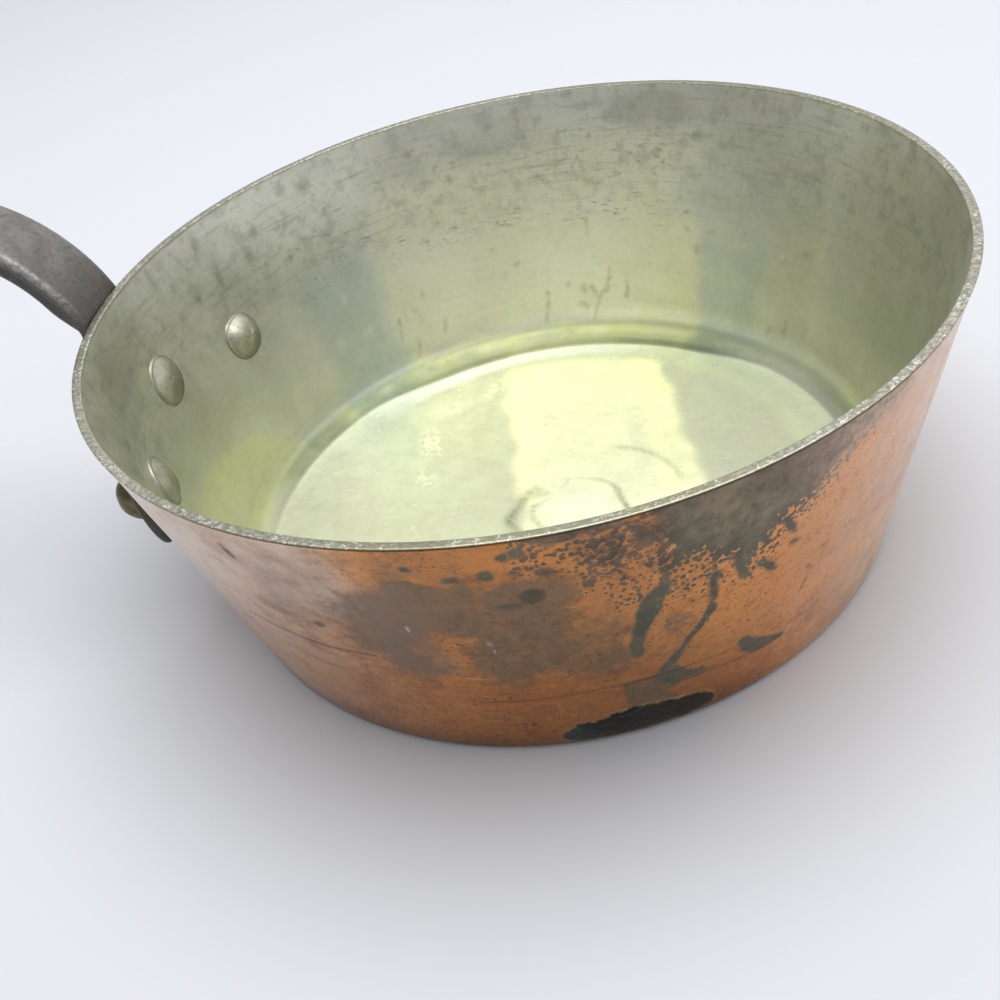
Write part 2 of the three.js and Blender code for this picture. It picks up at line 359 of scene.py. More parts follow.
tarnish_areas = [
    [(-72.4, 92), (-71.4, 66), (-70.4, 60), (-70.1, 55), (-69.5, 50.5), (-68.6, 50), (-67.6, 53), (-66, 54.5),
     (-64.9, 53), (-64.4, 49), (-63.9, 46), (-62.6, 46.5), (-62.1, 50.5), (-61, 49), (-60.3, 45), (-59, 43.2),
     (-58.6, 46.5), (-57.2, 48.7), (-56, 48.5), (-55.8, 52), (-54.5, 54), (-52, 55.5), (-50, 57.5), (-48, 60),
     (-45.5, 62.5), (-43, 65), (-40, 68), (-37, 71), (-20, 92)],
    [(-70.8, 21.8), (-68, 22.5), (-66.8, 19.5), (-64.3, 18), (-63.3, 16), (-64.8, 14.9), (-66.5, 15.8),
     (-68.5, 15.2), (-69.5, 16.5), (-71, 19)],
]
tarnish_runs = [
    [(-69.3, 50, 1.6), (-70.6, 47, 2.3), (-71.3, 43, 2.4), (-71.8, 40.5, 1.7), (-72.6, 37, 1.5),
     (-73, 33, 1.6), (-72.8, 30.5, 1.4)],
    [(-63.4, 48, 1.3), (-63.6, 45, 1.1), (-63.3, 41, 1), (-63.7, 37, 0.95), (-64.8, 33.5, 1),
     (-66.4, 30, 0.9), (-67.4, 27, 0.9), (-68.7, 24, 1.3), (-69.6, 21.8, 1.6)],
    [(-60.5, 51, 1.4), (-60.3, 47, 1), (-59.6, 44, 1.1), (-58.8, 42.8, 0.9)],
    [(-57.4, 45, 0.8), (-56.2, 42.8, 1), (-55.3, 40.8, 0.6)],
    [(-54.5, 54, 1.1), (-53.7, 51, 0.9), (-53.2, 49, 0.7)],
    [(-58.2, 20.3, 1.6), (-57.3, 18, 2.3), (-55.8, 16.2, 2.3), (-53.6, 15.2, 1.6), (-51.6, 14.8, 0.9)],
]
grey_drop = [
    (-89.5, 49, 0.8), (-89.7, 46, 1.8), (-89.3, 42, 2.6), (-89.4, 38, 2.5), (-89.2, 34, 2), (-89, 31, 1),
]
tarnish_spots = [
    (-79, 71.2, 4.6, 1.7), (-71.3, 65.5, 1.6, 3.4), (-83.2, 55.6, 2.4, 2.3, 40), (-85.8, 53.4, 2.5, 1.1),
    (-85, 67.8, 1.4, 1.5), (-83.6, 68.4, 1.4, 1.7), (-87.2, 63.2, 1.6, 1.2), (-52.9, 46.2, 1.4, 0.9, -30),
    (-91, 62.8, 1.6, 1), (-84.6, 63.2, 1.4, 0.9), (-81.4, 62.4, 1.6, 1.4), (-95, 66.5, 1.2, 0.8),
    (-48.8, 43.8, 0.9, 0.5, -50), (-116.8, 64, 0.8, 2.6, 20), (-110.3, 44.5, 1.1, 1.5, -30),
    (-94.8, 19.5, 0.5, 0.4), (-93, 3.5, 0.4, 2.2), (-47.3, 38.3, 1, 0.4, -55), (-49, 33.5, 0.35, 1),
    (-49.5, 28.5, 0.3, 1.1, -20),
]
burnt_area = [
    (-84.6, 3), (-84.3, 6.2), (-82, 8.3), (-79, 8.7), (-77, 10.2), (-74, 10.8), (-70, 10.1), (-66, 8.8),
    (-63.5, 7.8), (-62.2, 5.5), (-62.5, 3), (-66, 2), (-72, 1.6), (-78, 1.4), (-82, 1.6),
]
brown_film_area = [
    (-75.5, 21), (-69, 21), (-67, 15.5), (-69.2, 13.5), (-67, 12), (-68, 9.5), (-74.8, 9.5), (-75.3, 15),
]
brown_film_spots = [(-67.6, 38.2, 3.2, 2), (-71, 46.5, 3, 2.4)]
creases = [
    [(-125, 37.5, 0.2), (-119, 36.8, 0.5), (-112, 35.6, 0.5), (-105, 36, 0.2)],
    [(-148, 58, 0.1), (-139, 50, 0.35), (-131, 45, 0.3), (-126, 43.5, 0.1)],
    [(-133, 52, 0.1), (-127, 47.5, 0.3), (-121, 45, 0.1)],
    [(-122, 30, 0.1), (-115, 27.5, 0.3), (-108, 26.5, 0.1)],
    [(-94, 20.2, 0.1), (-80, 20.6, 0.3), (-70, 20.4, 0.3), (-61, 19.7, 0.1)],
    [(-68, 15.6, 0.1), (-62, 15.3, 0.25), (-56, 14.4, 0.1)],
    [(-51, 17.8, 0.1), (-49, 17.6, 0.3), (-47, 17.4, 0.1)],
]
pale_specks = [
    (-98.3, 47, 0.6, 1.3, 15), (-88.2, 52.5, 0.45, 0.8, 20), (-90.7, 49.5, 0.35, 0.8), (-86.7, 43, 0.4, 0.5),
    (-89.6, 42, 0.5, 1.3), (-89.3, 39, 0.4, 0.8), (-56.2, 17.6, 0.4, 0.7, 40), (-66.8, 50.3, 0.4, 0.5),
    (-109.2, 30.5, 0.3, 0.9, -15), (-59.7, 30.3, 0.5, 0.3, -40),
]


def copper_profile():
    top = rim_height - tin_thickness - bond_gap
    edge = 0.25
    rows = line((hub_radius, 0), (foot_radius - base_edge_radius - 1.5, 0), 16)
    rows += corner(0, 0, base_edge_radius, 8)
    rows += line(wall_point(3), wall_point(top - edge), 88)
    rows += [wall_point(top - edge), [wall_radius(top) - edge, top], wall_point(top, -copper_wall)]
    rows += line(wall_point(top - 2, -copper_wall), wall_point(corner_top, -copper_wall), 10)
    rows += corner(copper_base, -copper_wall, inner_corner_radius + tin_thickness + bond_gap, 5)[::-1]
    rows += line((flat_radius, copper_base), (hub_radius, copper_base), 3)
    return rows


def copper_shift(angle, radius, height):
    """Slow waves left by raising the wall, creases and crust, on the outside only."""
    outside = (radius > wall_radius(height, -0.5)) & (height > 0.5)
    waves = 0.07 * unevenness(angle, height, 5) + 0.025 * unevenness(angle, height, 6, (9, 28), 18)
    wall = Wall(angle, height)
    crease = 0.09 * fall(wall.runs(creases), -0.2, 0.9)
    crust = 0.16 * fall(wall.areas([burnt_area]), -1.2, 0.4)
    fade = smooth(height, 2, 10) * smooth(rim_height - height, 0.5, 6)
    marks = (crease - crust) * smooth(height, 1.5, 3.5)
    return -np.where(outside, (0.11 + waves) * fade + marks + 0.06, 0)


def copper_fields(points):
    wall = Wall(np.arctan2(points[:, 1], points[:, 0]), points[:, 2])
    azimuth, height = wall.azimuth, wall.height
    areas = wall.areas(tarnish_areas)
    network = wall.most(
        (1.0, (-79.5, -69.5), (54, 80), 2.5, 4), (0.62, (-77, -69), (46, 55), 2.5, 3),
        (0.55, (-69.5, -61), (45, 54), 1, 2), (0.7, (-86, -78), (60, 80), 3, 4))
    border = fall(np.abs(areas), 2, 9) * smooth(azimuth, -72, -68) * smooth(height, 30, 38)
    return {
        "tarnish": np.minimum(areas, 4.0 - 6.2 * network),
        "lace": np.maximum(border, network),
        "network": network,
        "run": np.minimum(wall.runs(tarnish_runs), wall.spots(tarnish_spots)),
        "dots": wall.most(
            (0.42, (-54, -30), (38, 66), 6, 8), (0.3, (-103, -78), (61, 71.5), 4, 1.5),
            (0.16, (-128, -50), (8, 62), 8, 8)),
        "deep": smooth(-areas, 2.5, 7.5),
        "brown": wall.most((1.0, (-84, -68), (52, 74), 3, 5), (0.7, (-60, -40), (62, 74), 6, 4)),
        "thin": 0.85 * smooth(azimuth, -56, -43) * smooth(height, 50, 60),
        "film": wall.most(
            (0.95, (-92.5, -79), (28, 61), 2.5, 4), (1.3, (-97.5, -89), (45, 62), 2, 3),
            (0.7, (-82, -73), (24, 49), 3, 5), (0.4, (-76, -66), (24, 42), 3, 4),
            (0.9, (-107, -96), (32, 61), 5, 7), (0.5, (-118, -105), (28, 50), 6, 8),
            (0.45, (-103, -88), (60, 80), 5, 5), (0.4, (-80, -68), (44, 80), 4, 5),
            (0.55, (-100, -92), (44, 62), 4, 5), (0.3, (-8, 14), (58, 70), 4, 3),
            0.9 * fall(wall.areas([brown_film_area]), -0.8, 0.5),
            0.75 * fall(wall.spots(brown_film_spots), -1, 0.6),
            1.3 * fall(wall.runs([grey_drop]), -1.8, 1.2)),
        "violet": wall.most((0.9, (-103, -94.5), (31, 60), 2.2, 4), (0.6, (-118, -102), (45, 70), 6, 6)),
        "orange": wall.most(
            (0.5, (-98, -77), (63.5, 72), 3, 1.5), (0.5, (-84, -69), (46, 60), 3, 4),
            (0.8, (-66, -25), (24, 66), 6, 8)),
        # Pale haze: a dull film, with painted sheen on the pale left side and the lighter right side
        "haze": wall.most(
            fall(azimuth, -136, -98) * (0.3 + 0.66 * smooth(height, 14, 60)),
            (0.6, (-124, -103), (48, 76), 5, 5), 0.55 * smooth(azimuth, -60, -24)),
        # Painted light on the lower right of the wall
        "lit": smooth(azimuth, -64, -48) * fall(height, 20, 36),
        "crease": wall.runs(creases),
        "speck": wall.spots(pale_specks),
        "burnt": wall.areas([burnt_area]),
        "right": smooth(azimuth, -77, -66),
        "teal": 0.9 * fall(azimuth + wall.wander, -84, -78.5),
        # Share of the painted shade towards the base, smaller on the right
        "grimy": 1 - 0.75 * smooth(azimuth, -64, -44) * fall(azimuth, 0, 30),
        "under": fall(height, 0.05, 0.6),
    }


# Tin lining


def tin_profile():
    outer_face = -copper_wall - bond_gap
    floor = copper_base + bond_gap
    level = floor + tin_thickness
    under_rim = rim_height - tin_thickness
    edge = 0.1
    bead = 0.3
    inside_bead = wall_radius(rim_height, inner_offset) + bead
    pool_top = 9.6
    pool_start = 66.5
    rows = line((hub_radius, floor), (flat_radius, floor), 3)
    rows += corner(floor, outer_face, inner_corner_radius + tin_thickness, 5)
    rows += line(wall_point(corner_top, outer_face), wall_point(under_rim, outer_face), 12)
    rows += [wall_point(under_rim, outer_face), wall_point(under_rim)]
    rows += [[rim_radius, rim_height - edge], [rim_radius - edge, rim_height]]
    rows += line((rim_radius - 0.5, rim_height), (inside_bead, rim_height), 3)
    rows += [[inside_bead, rim_height]]
    rows += arc((wall_radius(rim_height - bead, inner_offset) + bead, rim_height - bead), bead,
                math.pi / 2 + 0.4, math.pi + wall_tilt, 3)
    rows += line(wall_point(rim_height - 1, inner_offset), wall_point(pool_top, inner_offset), 60)
    rows += bend(wall_point(pool_top, inner_offset), wall_point(2.9, inner_offset), (78.0, level),
                 (pool_start, level), 28)
    rows += line((pool_start, level), (hub_radius, level), 56)
    return rows


def tin_shift(angle, radius, height):
    """Waves on the inside face only: slow ones on the wall and flatter ones on the floor."""
    inside = (radius < wall_radius(height, inner_offset + 0.05)) & (height > copper_base + 0.25)
    waves = 0.06 * unevenness(angle, height, 15) + 0.02 * unevenness(angle, height, 16, (9, 30), 16)
    fade = smooth(rim_height - height, 0.5, 6) * smooth(height, 2, 12)
    floor_waves = 0.03 * unevenness(angle, radius, 17, (1, 6), 50) * smooth(radius, 5, 25)
    floor_fade = fall(height, 2.4, 4)
    return np.where(inside, 0.02 + (0.08 + waves) * fade + (0.03 + floor_waves) * floor_fade, 0)


# Marks on the tin, given like those on the copper. The rubbed spots lie on the floor, and have x and y in
# place of azimuth and height.


drips = [
    [(77.8, 17, 0.4), (77.4, 15, 0.6), (77.7, 13, 0.7)],
    [(81, 21, 0.3), (81.6, 15.5, 0.5), (83.6, 12.8, 0.5), (84.2, 10, 0.5), (84.8, 6.5, 0.2)],
    [(83.8, 12.8, 0.5), (85.2, 15.8, 0.4)], [(86.8, 15.8, 0.9), (86.6, 14.5, 0.9)],
    [(88, 11, 0.7), (86.4, 10, 0.9)], [(94.4, 16, 0.4), (94.6, 11.5, 0.5), (95.6, 7, 0.2)],
    [(126.3, 20, 0.3), (126.6, 17, 0.6), (126.8, 14.5, 0.2)],
    [(123.9, 13, 0.3), (123.8, 10.5, 0.5), (124.8, 7.5, 0.2)], [(40.8, 14, 0.3), (41.3, 10, 0.4)],
    [(44.5, 10.5, 0.3), (45.2, 8, 0.3)], [(116.6, 15, 0.3), (116.9, 13.5, 0.5)],
    [(84.8, 36, 0.4), (84.5, 32, 0.2)], [(91, 47.5, 0.6), (92, 49.5, 0.5), (94, 50.3, 0.3)],
]
dark_spots = [
    (59.5, 33, 1.1, 0.7), (64.8, 33, 0.8, 0.7), (38.4, 33.5, 1.3, 0.7), (83.4, 46.8, 1.2, 0.6),
    (63, 59, 1.7, 1.2, -40), (62.6, 27.5, 1, 0.9, -50), (99.6, 25.2, 0.6, 0.9), (103.8, 31.2, 0.8, 0.5, 20),
    (157.8, 67.5, 1.3, 2.6, 15), (138.5, 68, 1.3, 1.8), (134.5, 66.5, 2.2, 1.4, 20), (146.5, 61.5, 1.6, 1.6),
    (149.3, 56.5, 1.5, 2.4), (156.8, 57.5, 1, 1.9), (162.8, 56, 1, 1.6), (115, 64, 1.4, 1.2),
    (132.5, 57.4, 1.2, 0.8), (142.5, 50.5, 1.3, 0.7), (108.8, 54, 1.2, 1), (119.8, 24.6, 0.4, 0.9),
    (122.2, 20.8, 0.5, 0.8), (117.3, 13.5, 0.5, 1.2, 15), (89.9, 17.2, 0.7, 0.7), (169.5, 68, 0.8, 2.4),
]
light_spots = [
    (188.3, 66.2, 1, 1.1), (144.6, 48.5, 1, 0.9), (152.3, 29.4, 1.9, 1.6), (139.9, 21.5, 2, 2.2),
    (103.2, 65.2, 1.6, 1.8), (104.2, 61.5, 0.8, 3), (53.5, 31.2, 2.6, 1, -15), (55.8, 34.5, 0.9, 0.8),
    (138.2, 40, 0.6, 0.8), (135, 33, 1.1, 0.8), (113.5, 63, 0.5, 1.4), (133.5, 21, 2, 1.3),
]
green_patch = [
    (158.5, 5.5), (163, 12), (168.5, 19), (178, 23.5), (190, 26.8), (198, 26), (206, 19), (216, 3),
    (190, 2.5), (168, 3.5),
]
foot_shades = [
    [(146, -2), (148, 4.2), (157, 5.2), (164, 4.7), (172, 3.9), (182, 3.3), (190, 2.9), (190, -2)],
    [(10, -2), (10, 4.6), (22, 4.6), (34, 3.8), (46, 4.8), (56, 4.6), (63, 3.4), (63, -2)],
]
rubbed_spots = [(-38, 28, 3.5, 7.5, 12), (-35, 44, 5.5, 3, 20), (-22, 53, 3, 5, -15), (-37, 12, 2.2, 5, 30)]


def tin_fields(points):
    x, y, height = points.T
    wall = Wall(np.arctan2(y, x), height, -90.0)
    azimuth = wall.azimuth
    away = np.hypot(x, y)
    sides = smooth(azimuth, 120, 142) + fall(azimuth, 38, 62)
    edge = 72.5 + 3.0 * sides
    on_floor = fall(away, edge - 0.9, edge + 0.9)
    on_wall = 1 - on_floor
    inner = fall(away, 62, 67)
    near = smooth(y, -70, -30)
    wobble = 0.9 * np.sin(y / 5.3) + 0.7 * np.sin(y / 2.3 + 1.2)
    left_edge = x + 9 + 0.17 * y + wobble
    right_edge = x - 38 + 0.2 * y - 0.6 * wobble
    middle = smooth(left_edge, -3.5, 3) * fall(right_edge, -2, 3) * inner
    stripes = np.maximum(band(left_edge, -2.5, 1.5, 5, 10), band(right_edge, -11, -7, -1.5, 2.5)) * near
    rubbed = np.min([spot_distance(x, y, *spot) for spot in rubbed_spots], 0)
    patch = fall(wall.areas([green_patch]), -1.2, 1.2)
    rim = smooth(height, rim_height - 0.35, rim_height - 0.15)

    def circle(middle_x, middle_y, radius, width):
        """A thin soft line round a point of the floor."""
        return np.exp(-((np.hypot(x - middle_x, y - middle_y) - radius) / width) ** 2)

    side = np.abs(x - 4) / 14.5
    # Painted shade at the foot of the wall, where it bends into the floor
    foot = smooth(away, edge - 0.6, edge + 0.8) * fall(height, 3.8, 6.2)
    foot *= 1 - 0.3 * fall(azimuth, 38, 62) - 0.4 * smooth(azimuth, 164, 178) * smooth(height, 0.8, 1.8)
    return {
        "floor": on_floor,
        "foot": foot,
        "rim": rim,
        # The yellow, cool, pale and shade zones are painted reflections and painted shade on the wall and
        # floor
        "yellow": np.maximum(
            on_wall * wall.most(
                (0.5, (62.5, 108), (-9, 42), 1.8, 6), (0.36, (100, 127), (-9, 42), 1.8, 6),
                (0.42, (64, 125), (36, 60), 4, 7), (0.3, (63, 71), (-9, 42), 2, 4),
                (0.32, (34, 46), (17, 44), 2, 8), (0.6, (-6, 21), (3, 15), 5, 5),
                (1.0, (58, 146), (3.2, 7.0), 6, 0.8), 0.85 * patch),
            on_floor * (0.25 + 0.3 * middle * near + 0.6 * stripes * inner + 0.15 * smooth(y, 35, 58) * middle
                        - 0.2 * (1 - inner))),
        "cool": on_wall * wall.most(
            (0.9, (128, 143), (-9, 43), 2.5, 7), (0.8, (47.5, 61.5), (-9, 34), 1.5, 8),
            (0.35, (48, 67), (34, 50), 2, 6)),
        "pale": np.maximum(
            on_wall * wall.most(
                (0.85, (122, 154), (54, 67), 5, 4), (0.6, (-9, 58), (64, 76), 5, 4),
                (0.3, (84, 127), (-9, 38), 8, 8), 0.6 * fall(wall.spots(light_spots), -0.7, 0.5),
                0.45 * fall(wall.spots([(184, 56, 6, 5, -20)]), -3.0, 1.5)),
            on_floor * 0.45 * middle * near),
        "shade": np.maximum(
            on_wall * wall.most(
                (0.35, (36, 61.5), (-9, 74), 4, 3), (0.2, (128, 158), (-9, 52), 2.5, 6),
                (0.5, (158, 182), (67, 76), 5, 2.5), (0.45, (104, 120), (60, 76), 5, 5),
                (0.5, (93, 124), (57, 67), 5, 4), 0.25 * fall(azimuth, 28, 38),
                0.42 * fall(wall.spots([(187, 64, 17, 8, -8)]), -1.5, 1.0),
                0.75 * fall(wall.spots([(71, 65.5, 15, 5.5, 3)]), -3.0, 1.5),
                0.7 * fall(wall.areas(foot_shades), -0.8, 0.8)),
            on_floor * wall.most(
                0.55 * smooth(right_edge, -1.5, 2.5) * near * inner,
                (0.3 + 0.34 * smooth(-x, 35, 72)) * fall(left_edge, -2.5, 1.5),
                0.2 * smooth(away, 66, 71) * fall(azimuth, 58, 70),
                0.6 * smooth(away, 69, 73) * smooth(azimuth, 130, 142))),
        # Painted light: lighter zones on the wall, the green patch and the left of the rim
        "bright": np.maximum(
            on_wall * wall.most(
                (0.42 + 0.22 * smooth(azimuth, 176, 186)) * smooth(azimuth, 152, 166) * fall(height, 46, 60),
                (0.35, (108, 158), (10, 40), 6, 8), 0.4 * patch * fall(height, 10, 20),
                0.5 * fall(azimuth, 36, 54) * smooth(height, 52, 64), 0.35 * fall(azimuth, 4, 18),
                0.6 * band(height, 4.6, 6.4, 7.0, 11) * (1 - 0.8 * wall.zone((86, 124), (-9, 20), 5, 3))),
            rim * band(azimuth, 172, 184, 226, 240)),
        "scuffs": on_wall * wall.most(
            (1.0, (62, 93), (35, 42), 5, 3), (0.9, (96, 128), (36, 43), 5, 3),
            (0.7, (66, 96), (46, 60), 6, 5), (0.6, (126, 150), (38, 58), 6, 6)),
        # Painted shade: a dark line along the corner of the floor and the wall
        "corner": fall(np.abs(away - 73.9), 0.9, 2.1) * wall.most(
            (1.0, (53, 80), (-9, 12), 4, 3), (0.75, (104, 127), (-9, 12), 3, 3),
            (0.3, (78, 106), (-9, 12), 3, 3)),
        # Painted reflection: a lighter, more yellow band on the bend
        "bend": band(height, 3.2, 4.4, 5.6, 7.6),
        # Painted highlight: a pale ring on the floor by the far wall
        "gleam": on_floor * band(away, 65.5, 69, 71.2 + 2.6 * sides, 72.8 + 2.6 * sides)
                 * wall.zone((74, 134), (-9, 20), 14, 3),
        "rubbed": on_floor * fall(rubbed, -2.5, 2.0),
        "pool": on_floor * fall(np.hypot(x - 5, y + 12), 12, 15),
        "ring": on_floor * wall.most(
            circle(4, -8, 14.5 + 0.5 * np.sin(y / 1.9), 0.8 + 0.7 * side * (x < 4)) * (0.3 + 0.7 * side ** 2),
            0.6 * circle(5, -6, 10.6 + 0.4 * np.sin(x / 1.7), 0.7) * (x < 2),
            0.5 * circle(12, -2, 21, 0.8) * smooth(y, 0, 5) * smooth(x, 12, 17)),
        "stain": np.minimum(wall.runs(drips), wall.spots(dark_spots)) + 9 * on_floor,
        "rim_dark": wall.most(
            smooth(azimuth, 252, 264) + fall(azimuth, -64, -52), (1.0, (24, 90), (60, 99), 8, 3)),
    }


# Rivets


def wall_place(angle, drop):
    """Matrix of a place on the outside of the wall, with Z square to it; angle is from the handle."""
    height = drop_height(drop)
    normal = Vector((-math.cos(wall_tilt), 0, -math.sin(wall_tilt)))
    up_wall = Vector((-math.sin(wall_tilt), 0, math.cos(wall_tilt)))
    across = up_wall.cross(normal)
    place = Matrix((across, up_wall, normal)).transposed().to_4x4()
    place.translation = Vector((-wall_radius(height), 0, height))
    return Matrix.Rotation(angle, 4, "Z") @ place


def head_profile(radius, height, skirt):
    """(radius, height) rows of a head from its underside to its crown, with a thin skirt round it."""
    underside = -0.15
    steps = 16
    sphere = (radius * radius + height * height) / (2 * height)
    half_angle = math.atan2(radius, sphere - height)
    rows = line((1, underside), (radius + skirt, underside), 3)
    rows += [[radius + skirt, underside], [radius + skirt, 0.03]]
    rows += [[radius + skirt * 0.5, 0.1], [radius + 0.25, 0.28], [radius, 0.5]]
    for i in range(1, steps):
        left = 1 - i / steps
        angle = half_angle * left
        rows.append([sphere * math.sin(angle), height - sphere * (1 - math.cos(angle)) + 0.12 * left])
    return rows


def head(radius, height, skirt, seat, seed, scars, inward):
    """Points and faces of one head, in the rivet's own place, bent to the round of the wall."""
    columns = 64
    rows = head_profile(radius, height, skirt)
    points = turn(rows, np.arange(columns) * 2 * math.pi / columns)
    angle = np.arctan2(points[:, 1], points[:, 0])
    away = np.hypot(points[:, 0], points[:, 1])
    shape = 1 + 0.035 * unevenness(angle, away, seed, (1, 5), 14) * smooth(away, 1, 4)
    points[:, :2] *= shape[:, None]
    rise = smooth(points[:, 2], 0.3, height * 0.6)
    points[:, 2] += rise * 0.22 * unevenness(angle, away, seed + 1, (1, 4), 9)
    for x, y, size, depth in scars:
        hit = np.exp(-((points[:, 0] - x) ** 2 + (points[:, 1] - y) ** 2) / size ** 2)
        points[:, 2] -= depth * hit * smooth(points[:, 2], 0.2, 1.0)
    sag = points[:, 0] ** 2 / (2 * rim_radius) * fall(points[:, 2], 0.6, height)
    points[:, 2] += sag if inward else -sag
    if inward:
        points[:, 2] = seat - points[:, 2]
        points[:, 1] *= -1
    else:
        points[:, 2] += seat
    return points, ring_faces(len(rows), columns)


# Handle. Along is a length on its top line, across is square to the handle, and depth is below its top face.


def top_line(along):
    """Distance from the axis, height and slope of the handle's top line."""
    root_height = drop_height(stem_root_drop)
    on_wall = np.minimum(along, wall_run)
    out = wall_radius(root_height, seat_gap) + on_wall * math.cos(wall_slope)
    height = root_height + on_wall * math.sin(wall_slope)
    slope = np.full(np.shape(along), wall_slope)
    for start, run, radius in ((wall_run, bend_run, bend_radius), (stem_start, math.inf, bow_radius)):
        onward = slope - np.clip(along - start, 0, run) / radius
        out = out + radius * (np.sin(slope) - np.sin(onward))
        height = height + radius * (np.cos(onward) - np.cos(slope))
        slope = onward
    return out, height, slope


outer_rivet_angle = math.asin(outer_rivet_spread / 2 / wall_radius(drop_height(outer_rivet_drop)))
rivets = {
    "rivet_left": {"angle": outer_rivet_angle, "drop": outer_rivet_drop, "outer": (6.0, 5.4),
                   "inner": (6.3, 2.6), "scars": ((1.0, 1.5, 2.2, 0.6),), "seed": 31},
    "rivet_middle": {"angle": 0.0, "drop": middle_rivet_drop, "outer": (6.0, 5.2), "inner": (6.4, 2.5),
                     "scars": ((-2.2, 1.6, 2.6, 0.7),), "seed": 41},
    "rivet_right": {"angle": -outer_rivet_angle, "drop": outer_rivet_drop, "outer": (6.0, 5.4),
                    "inner": (6.0, 3.7), "scars": (), "seed": 51, "slip": 1.2},
}


def flange_outline():
    """Right half and left half of the flange, as (across, drop) on the unrolled wall."""
    wing = outer_rivet_angle * wall_radius(drop_height(outer_rivet_drop))
    wing_drop = outer_rivet_drop + wing_lag
    half = wing_height / 2
    foot_drop = middle_rivet_drop + flange_foot
    right = bend((stem_width / 2, flange_top_drop), (stem_width / 2, wing_drop - half),
                 (wing - wing_tangent, wing_drop - half), (wing, wing_drop - half), 24)
    right += [[wing + wing_reach * math.cos(a), wing_drop + half * math.sin(a)]
              for a in np.linspace(-math.pi / 2, math.pi / 2, 32)]
    right += bend((wing, wing_drop + half), (wing - wing_tangent, wing_drop + half),
                  (wing_tangent, foot_drop), (0, foot_drop), 24)[1:]
    return right + [[0, foot_drop]] + [[-x, y] for x, y in right[::-1]]


def handle_field(along, across, depth):
    """Distances to the casting's surface in its own straight space, negative inside."""
    drop = stem_root_drop - along
    out, _, slope = top_line(along)
    back = top_line(np.array(eye_centre))[0] - out - depth * np.sin(slope)

    outline = polygon_distance(across[..., 0], drop[..., 0], flange_outline())[..., None]
    crown = flange_thickness - 0.5 * smooth(outline, -7, 0)
    flange = rounded_slab(outline, depth, crown, flange_round)

    waist = np.sin(math.pi * np.clip((along - wall_run) / (eye_centre - wall_run), 0, 1))
    half = stem_width / 2 - (stem_width - waist_width) / 2 * waist
    swell = smooth(along, eye_centre - eye_blend, eye_centre)
    side = np.abs(across) - (half + (eye_radius - half) * swell)
    strip = np.maximum(side, np.maximum(-along, along - eye_centre))
    eye = np.hypot(back, across) - eye_radius
    plan = np.minimum(strip, eye)
    lean = math.asin((hole_radius - hole_tip_radius) / hole_length)
    slant = np.abs(across) * math.cos(lean) + back * math.sin(lean) - hole_radius
    tip = np.hypot(back - hole_length, across) - hole_tip_radius
    side_share = back * math.cos(lean) - np.abs(across) * math.sin(lean)
    hole = np.where(side_share < 0, np.hypot(back, across) - hole_radius, slant)
    hole = np.where(side_share > hole_length * math.cos(lean), tip, hole)
    plan = np.maximum(plan, -hole)
    thickness = plate_thickness + (eye_thickness - plate_thickness) * swell
    plate = rounded_slab(plan, depth, thickness, plate_round)

    full = smooth(along, 0, wall_run + bend_run * rib_rise)
    risen = flange_thickness + (rib_depth - flange_thickness) * full
    gone = smooth(along, stem_start, stem_start + stem_length * rib_run)
    reach = risen + (plate_thickness / 2 - risen) * gone
    rib_side = np.abs(across) - rib_width / 2 + rib_draft * depth
    rib_end = np.maximum(-along, along - (eye_centre - eye_blend))
    rib = rounded_slab(np.maximum(rib_side, rib_end), depth, np.maximum(reach, 0.5), rib_round)
    rib = np.maximum(rib, 1.0 - depth)

    whole = join_softly(join_softly(plate, rib, rib_fillet), flange, flange_fillet)
    whole = np.maximum(whole, -depth)
    for rivet in rivets.values():
        place = -rivet["angle"] * wall_radius(drop_height(rivet["drop"]))
        bore = shank_radius + bore_gap - np.hypot(across - place, drop - rivet["drop"])
        whole = np.maximum(whole, bore)
    return whole


def cast_handle():
    step = 0.55
    starts = np.array([-22.0, -51.2, -1.1])
    ends = np.array([217.0, 51.4, 13.2])
    axes = [np.arange(a, b, step) for a, b in zip(starts, ends)]
    along, across, depth = np.meshgrid(*axes, indexing="ij")
    points, faces = surface_net(handle_field(along, across, depth))
    along, across, depth = (starts + points * step).T
    out, height, slope = top_line(along)
    out_here = out + depth * np.sin(slope)
    height_here = height - depth * np.cos(slope)
    on_wall = fall(along, 3, 13)
    turned = across / wall_radius(height)
    straight = np.stack([-out_here, across, height_here], -1)
    round_wall = np.stack([-out_here * np.cos(turned), out_here * np.sin(turned), height_here], -1)
    placed = straight + (round_wall - straight) * on_wall[:, None]
    on_stem = smooth(along, 12, 30)
    half = stem_width / 2 + (eye_radius - stem_width / 2) * smooth(along, 165, 199)
    top_edge = fall(np.abs(np.abs(across) - half + 0.7), 0.3, 1.3) * fall(depth, 0.9, 1.9) * on_stem
    flange_edge = smooth(depth, flange_thickness - 0.9, flange_thickness - 0.3) * (1 - on_stem)
    corner_line = np.hypot(np.abs(across) - rib_width / 2 - 0.6, depth - plate_thickness - 0.6)
    fields = {
        # Painted shade on the handle by the pan
        "near_pan": fall(along, 8, 46),
        # Lighter top edges: a painted highlight and wear
        "edge": np.maximum(top_edge, 0.25 * flange_edge),
        # Painted shade in the crevice under the top plate
        "crevice": fall(corner_line, 0.6, 2.6) * on_stem,
        # Painted shade below the top face and on the flange
        "below": np.maximum(smooth(depth, 1.2, 2.5), 1 - on_stem),
    }
    return make_piece("cast_handle_and_flange", placed, faces.tolist(), fields)


